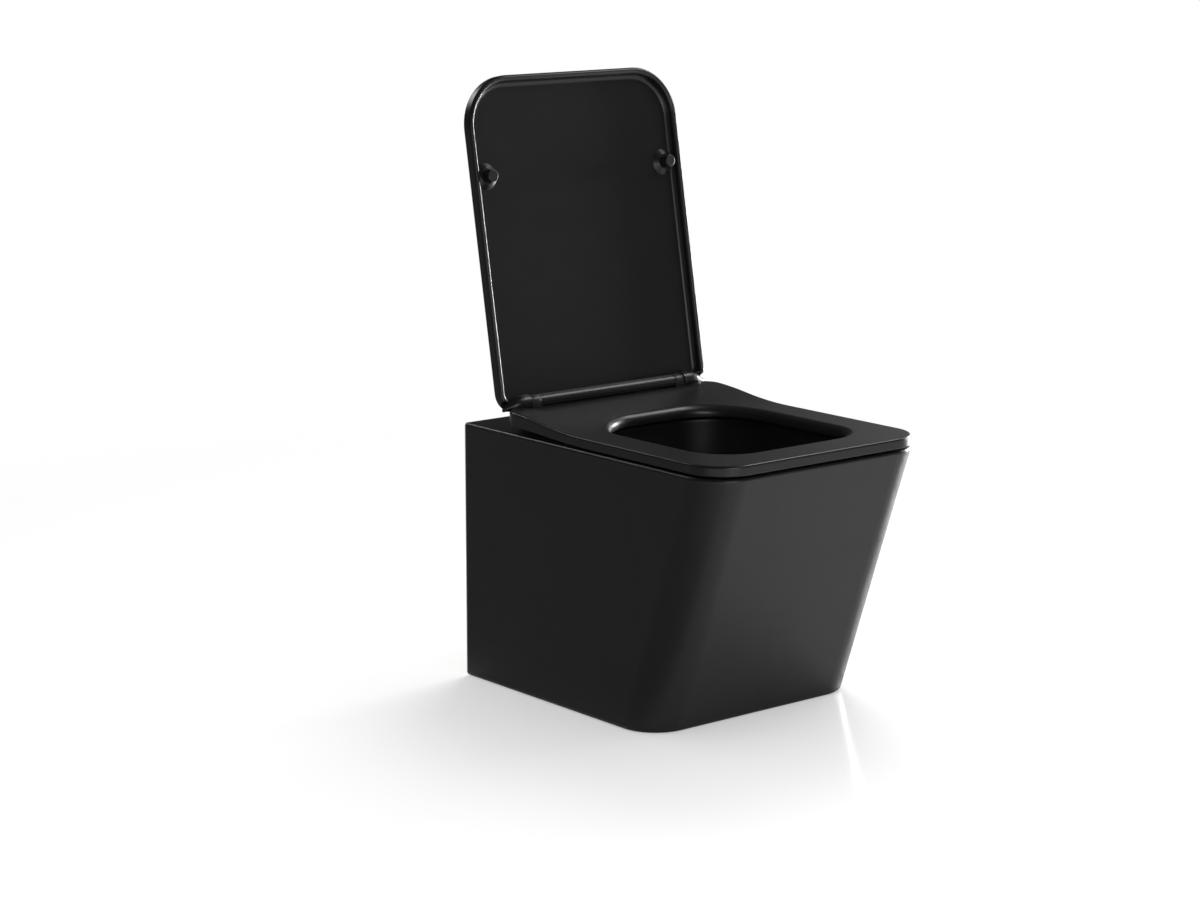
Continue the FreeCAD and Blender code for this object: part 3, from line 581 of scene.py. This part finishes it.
ribSet = {"Count": 4, "Step": (0, 0, 0.0032), "Thickness": 0.0006, "fromEnd": 0.003}
low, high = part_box("anchor_sleeves")
ribSet["Radius"] = (high[1] - low[1]) / 2
sleeveMiddles = [(x, (low[1] + high[1]) / 2, low[2] + ribSet["fromEnd"])
                 for x in (low[0] + ribSet["Radius"], high[0] - ribSet["Radius"])]
growPiece("anchor_ribs", makeRingTree(), sleeveMiddles, ribSet, "base", "black_rubber")

padSet = {"Count": 3, "Step": (0, 0.0034, 0), "Length": 0.029, "Thickness": 0.0011, "Block Length": 0.034,
          "Block Width": 0.012, "Corner": 0.002, "fromSide": (0.061, 0.023), "seatHalf": 0.173}
low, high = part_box("seat_buffers")
padSet["Block Height"] = high[2] - low[2] - padSet["Thickness"]
padSet["Block From Rib"] = (0, padSet["Step"][1], 0)
padRows = (low[1] + padSet["Block Width"] / 2, high[1] - padSet["Block Width"] / 2)
padPlaces = [(side * (padSet["seatHalf"] - fromSide), y - padSet["Step"][1], low[2] + padSet["Thickness"])
             for fromSide, y in zip(padSet["fromSide"], padRows) for side in (-1, 1)]
pads = growPiece("seat_pads", makePadTree(), padPlaces, padSet, "seat", "black_rubber")
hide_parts("seat_buffers")

# each catch spring is a copy of its clip's mesh, set in place, and the clip itself is hidden
for side in ("left", "right"):
    low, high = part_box("catch_clip_" + side)
    spring = bpy.data.objects.new("catch_spring_" + side, nodes["catch_clip_" + side].data.copy())
    bpy.context.scene.collection.objects.link(spring)
    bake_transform(spring)
    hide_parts("catch_clip_" + side)
print("grips, ribs, pads and springs made")


# camera at the photograph's angle
cameraSet = {"lens": 89.147, "sensor": 36.0, "place": (-2.41255, -2.9965, 0.80343),
             "tilt": 11.423, "turn": 39.403}
cameraData = bpy.data.cameras.new("camera")
cameraData.lens = cameraSet["lens"]
cameraData.sensor_width = cameraSet["sensor"]
camera = bpy.data.objects.new("camera", cameraData)
camera.location = cameraSet["place"]
camera.rotation_euler = (math.radians(90 - cameraSet["tilt"]), 0, math.radians(-cameraSet["turn"]))
bpy.context.scene.collection.objects.link(camera)
bpy.context.scene.camera = camera


def rayKinds(tree, place):
    # rays from the camera, and rays off a shiny or clear surface
    paths = addNode(tree, "ShaderNodeLightPath", place)
    mirrored = mathNode(tree, "MAXIMUM", paths.outputs["Is Glossy Ray"], paths.outputs["Is Transmission Ray"],
                        (place[0] + 200, place[1] + 100))
    return paths.outputs["Is Camera Ray"], mirrored


# white floor that keeps the shadow and a faint mirror image, and melts into the backdrop further out
floorSet = {
    "level": -0.2502,
    "reach": 14.0,
    "white": (0.93, 0.93, 0.93),
    "roughness": 0.13,
    "middle": (0, -0.25),
    "fadeFrom": 0.9,  # distances from the middle
    "fadeTo": 2.0,
    "lift": 0.36,
    "shade": 0.2,  # painted shade: the dim grey that a mirrored ray meets on the left and behind
    "leftFrom": -0.16,
    "leftTo": -0.24,
    "leftFront": -0.9,
    "leftBack": -0.6,
    "backFrom": 0.5,
    "backTo": 1.3,
    "backShare": 0.6,
}


def mixShader(tree, share, first, second, place):
    node = addNode(tree, "ShaderNodeMixShader", place)
    for index, socket in enumerate((share, first, second)):
        tree.links.new(socket, node.inputs[index])
    return node.outputs["Shader"]


def makeFloorMaterial():
    material, tree, shader = newMaterial("floor_white")
    shader.inputs["Base Color"].default_value = (*floorSet["white"], 1)
    shader.inputs["Roughness"].default_value = floorSet["roughness"]
    coords = addNode(tree, "ShaderNodeTexCoord", (-900, 0))
    byCamera, mirrored = rayKinds(tree, (-500, 300))
    # how far out the backdrop's white takes over
    centre = addNode(tree, "ShaderNodeVectorMath", (-700, 0), operation="SUBTRACT")
    centre.inputs[1].default_value = (*floorSet["middle"], floorSet["level"])
    link(tree, coords, "Object", centre, 0)
    length = addNode(tree, "ShaderNodeVectorMath", (-500, 0), operation="LENGTH")
    link(tree, centre, "Vector", length, 0)
    fade = smoothStep(tree, length.outputs["Value"], floorSet["fadeFrom"], floorSet["fadeTo"], (-300, 0))
    seen = mathNode(tree, "MAXIMUM", byCamera, mirrored, (-150, 300))
    far = mathNode(tree, "MULTIPLY", fade, seen, (0, 200))
    # nearer in, a little glow for the camera alone brings the lit floor up to the backdrop's white
    lift = addNode(tree, "ShaderNodeEmission", (100, 100))
    tree.links.new(mathNode(tree, "MULTIPLY", byCamera, floorSet["lift"]), lift.inputs["Strength"])
    near = addNode(tree, "ShaderNodeAddShader", (250, 100))
    link(tree, shader, "BSDF", near, 0)
    link(tree, lift, "Emission", near, 1)
    glow = addNode(tree, "ShaderNodeEmission", (100, -200))
    lit = mixShader(tree, far, near.outputs["Shader"], glow.outputs["Emission"], (400, 0))
    # painted shade: for mirrored rays the floor on the left and behind glows only a dim grey, standing in for
    # a dark studio there, so the pan's left side and the seat's top mirror little
    parts = addNode(tree, "ShaderNodeSeparateXYZ", (-700, -300))
    link(tree, coords, "Object", parts, "Vector")
    x, y = parts.outputs["X"], parts.outputs["Y"]
    left = smoothStep(tree, x, floorSet["leftFrom"], floorSet["leftTo"], (-500, -300))
    behind = smoothStep(tree, y, floorSet["leftFront"], floorSet["leftBack"], (-500, -500))
    back = smoothStep(tree, y, floorSet["backFrom"], floorSet["backTo"], (-500, -700),
                      To_Max=floorSet["backShare"])
    leftBack = mathNode(tree, "MULTIPLY", left, behind, (-300, -400))
    shaded = mathNode(tree, "MAXIMUM", leftBack, back, (-150, -400))
    shade = setInputs(addNode(tree, "ShaderNodeEmission", (100, -350)), Strength=floorSet["shade"])
    dark = mathNode(tree, "MULTIPLY", shaded, mirrored)
    whole = mixShader(tree, dark, lit, shade.outputs["Emission"], (600, 0))
    tree.links.new(whole, tree.nodes["Material Output"].inputs["Surface"])
    return material


def makeFloor():
    mesh = bpy.data.meshes.new("floor")
    r, z = floorSet["reach"], floorSet["level"]
    mesh.from_pydata([(-r, -r, z), (r, -r, z), (r, r, z), (-r, r, z)], [], [(0, 1, 2, 3)])
    floor = bpy.data.objects.new("floor", mesh)
    bpy.context.scene.collection.objects.link(floor)
    mesh.materials.append(makeFloorMaterial())


makeFloor()


# studio: white for the camera, an even fill for lit surfaces,
# and for mirrored rays a dim room that is bright on the right
worldSet = {"dim": 0.028, "bright": 1.4, "fill": 0.66, "brightFrom": 0.83, "brightTo": 0.99,
            "towards": (0.95, 0.30, 0.03)}


def makeWorld():
    world = bpy.data.worlds.new("studio")
    world.use_nodes = True
    bpy.context.scene.world = world
    tree = world.node_tree
    tree.nodes.clear()
    coords = addNode(tree, "ShaderNodeTexCoord", (-900, 0))
    facing = addNode(tree, "ShaderNodeVectorMath", (-700, 0), operation="DOT_PRODUCT")
    facing.inputs[1].default_value = Vector(worldSet["towards"]).normalized()
    link(tree, coords, "Generated", facing, 0)
    room = smoothStep(tree, facing.outputs["Value"], worldSet["brightFrom"], worldSet["brightTo"], (-500, 0),
                      To_Min=worldSet["dim"], To_Max=worldSet["bright"])
    byCamera, mirrored = rayKinds(tree, (-700, 400))
    light = mixNumber(tree, mirrored, worldSet["fill"], room, (-300, 100))
    strength = mathNode(tree, "MAXIMUM", light, byCamera, (-100, 100))
    background = setInputs(addNode(tree, "ShaderNodeBackground", (100, 0)), Color=(1, 1, 1, 1))
    tree.links.new(strength, background.inputs["Strength"])
    output = addNode(tree, "ShaderNodeOutputWorld", (300, 0))
    link(tree, background, "Background", output, "Surface")


makeWorld()

# two softboxes light the floor and the pan, the other lamps show only as reflections
lampSet = {
    "softbox_right": {"place": (1.5, -0.5, 1.9), "aim": (0, -0.25, 0.0), "size": (2.2, 2.2),
                      "watts": 17.0, "mirrored": False, "lights": True},
    "softbox_top": {"place": (0.95, 0.45, 1.5), "aim": (0, -0.2, 0.1), "size": (1.0, 0.8),
                    "watts": 16.0, "mirrored": False, "lights": True},
    "sheet_right": {"place": (1.12, -0.62, 1.45), "aim": (0, -0.1, 0.1), "size": (1.0, 0.5),
                    "watts": 11.5, "mirrored": True, "lights": False},
    "strip_right": {"place": (2.0, -0.17, 0.2), "aim": (0, -0.1, 0.2), "size": (0.16, 0.9),
                    "watts": 56.0, "mirrored": True, "lights": False},
    "softbox_front": {"place": (-0.35, -2.7, 0.45), "aim": (0, 0, 0.3), "size": (1.2, 0.8),
                      "watts": 13.0, "mirrored": True, "lights": False},
    "softbox_back": {"place": (-0.4, 1.9, 1.6), "aim": (0, -0.2, 0.1), "size": (1.0, 0.5),
                     "watts": 10.0, "mirrored": True, "lights": False},
}
for name, lamp in lampSet.items():
    data = bpy.data.lights.new(name, "AREA")
    data.shape = "RECTANGLE"
    data.size, data.size_y = lamp["size"]
    data.energy = lamp["watts"]
    lampObject = bpy.data.objects.new(name, data)
    lampObject.location = lamp["place"]
    lampObject.visible_glossy = lamp["mirrored"]
    lampObject.visible_diffuse = lamp["lights"]
    aim = Vector(lamp["aim"]) - Vector(lamp["place"])
    lampObject.rotation_euler = aim.to_track_quat("-Z", "Y").to_euler()
    bpy.context.scene.collection.objects.link(lampObject)
print("stage lit")
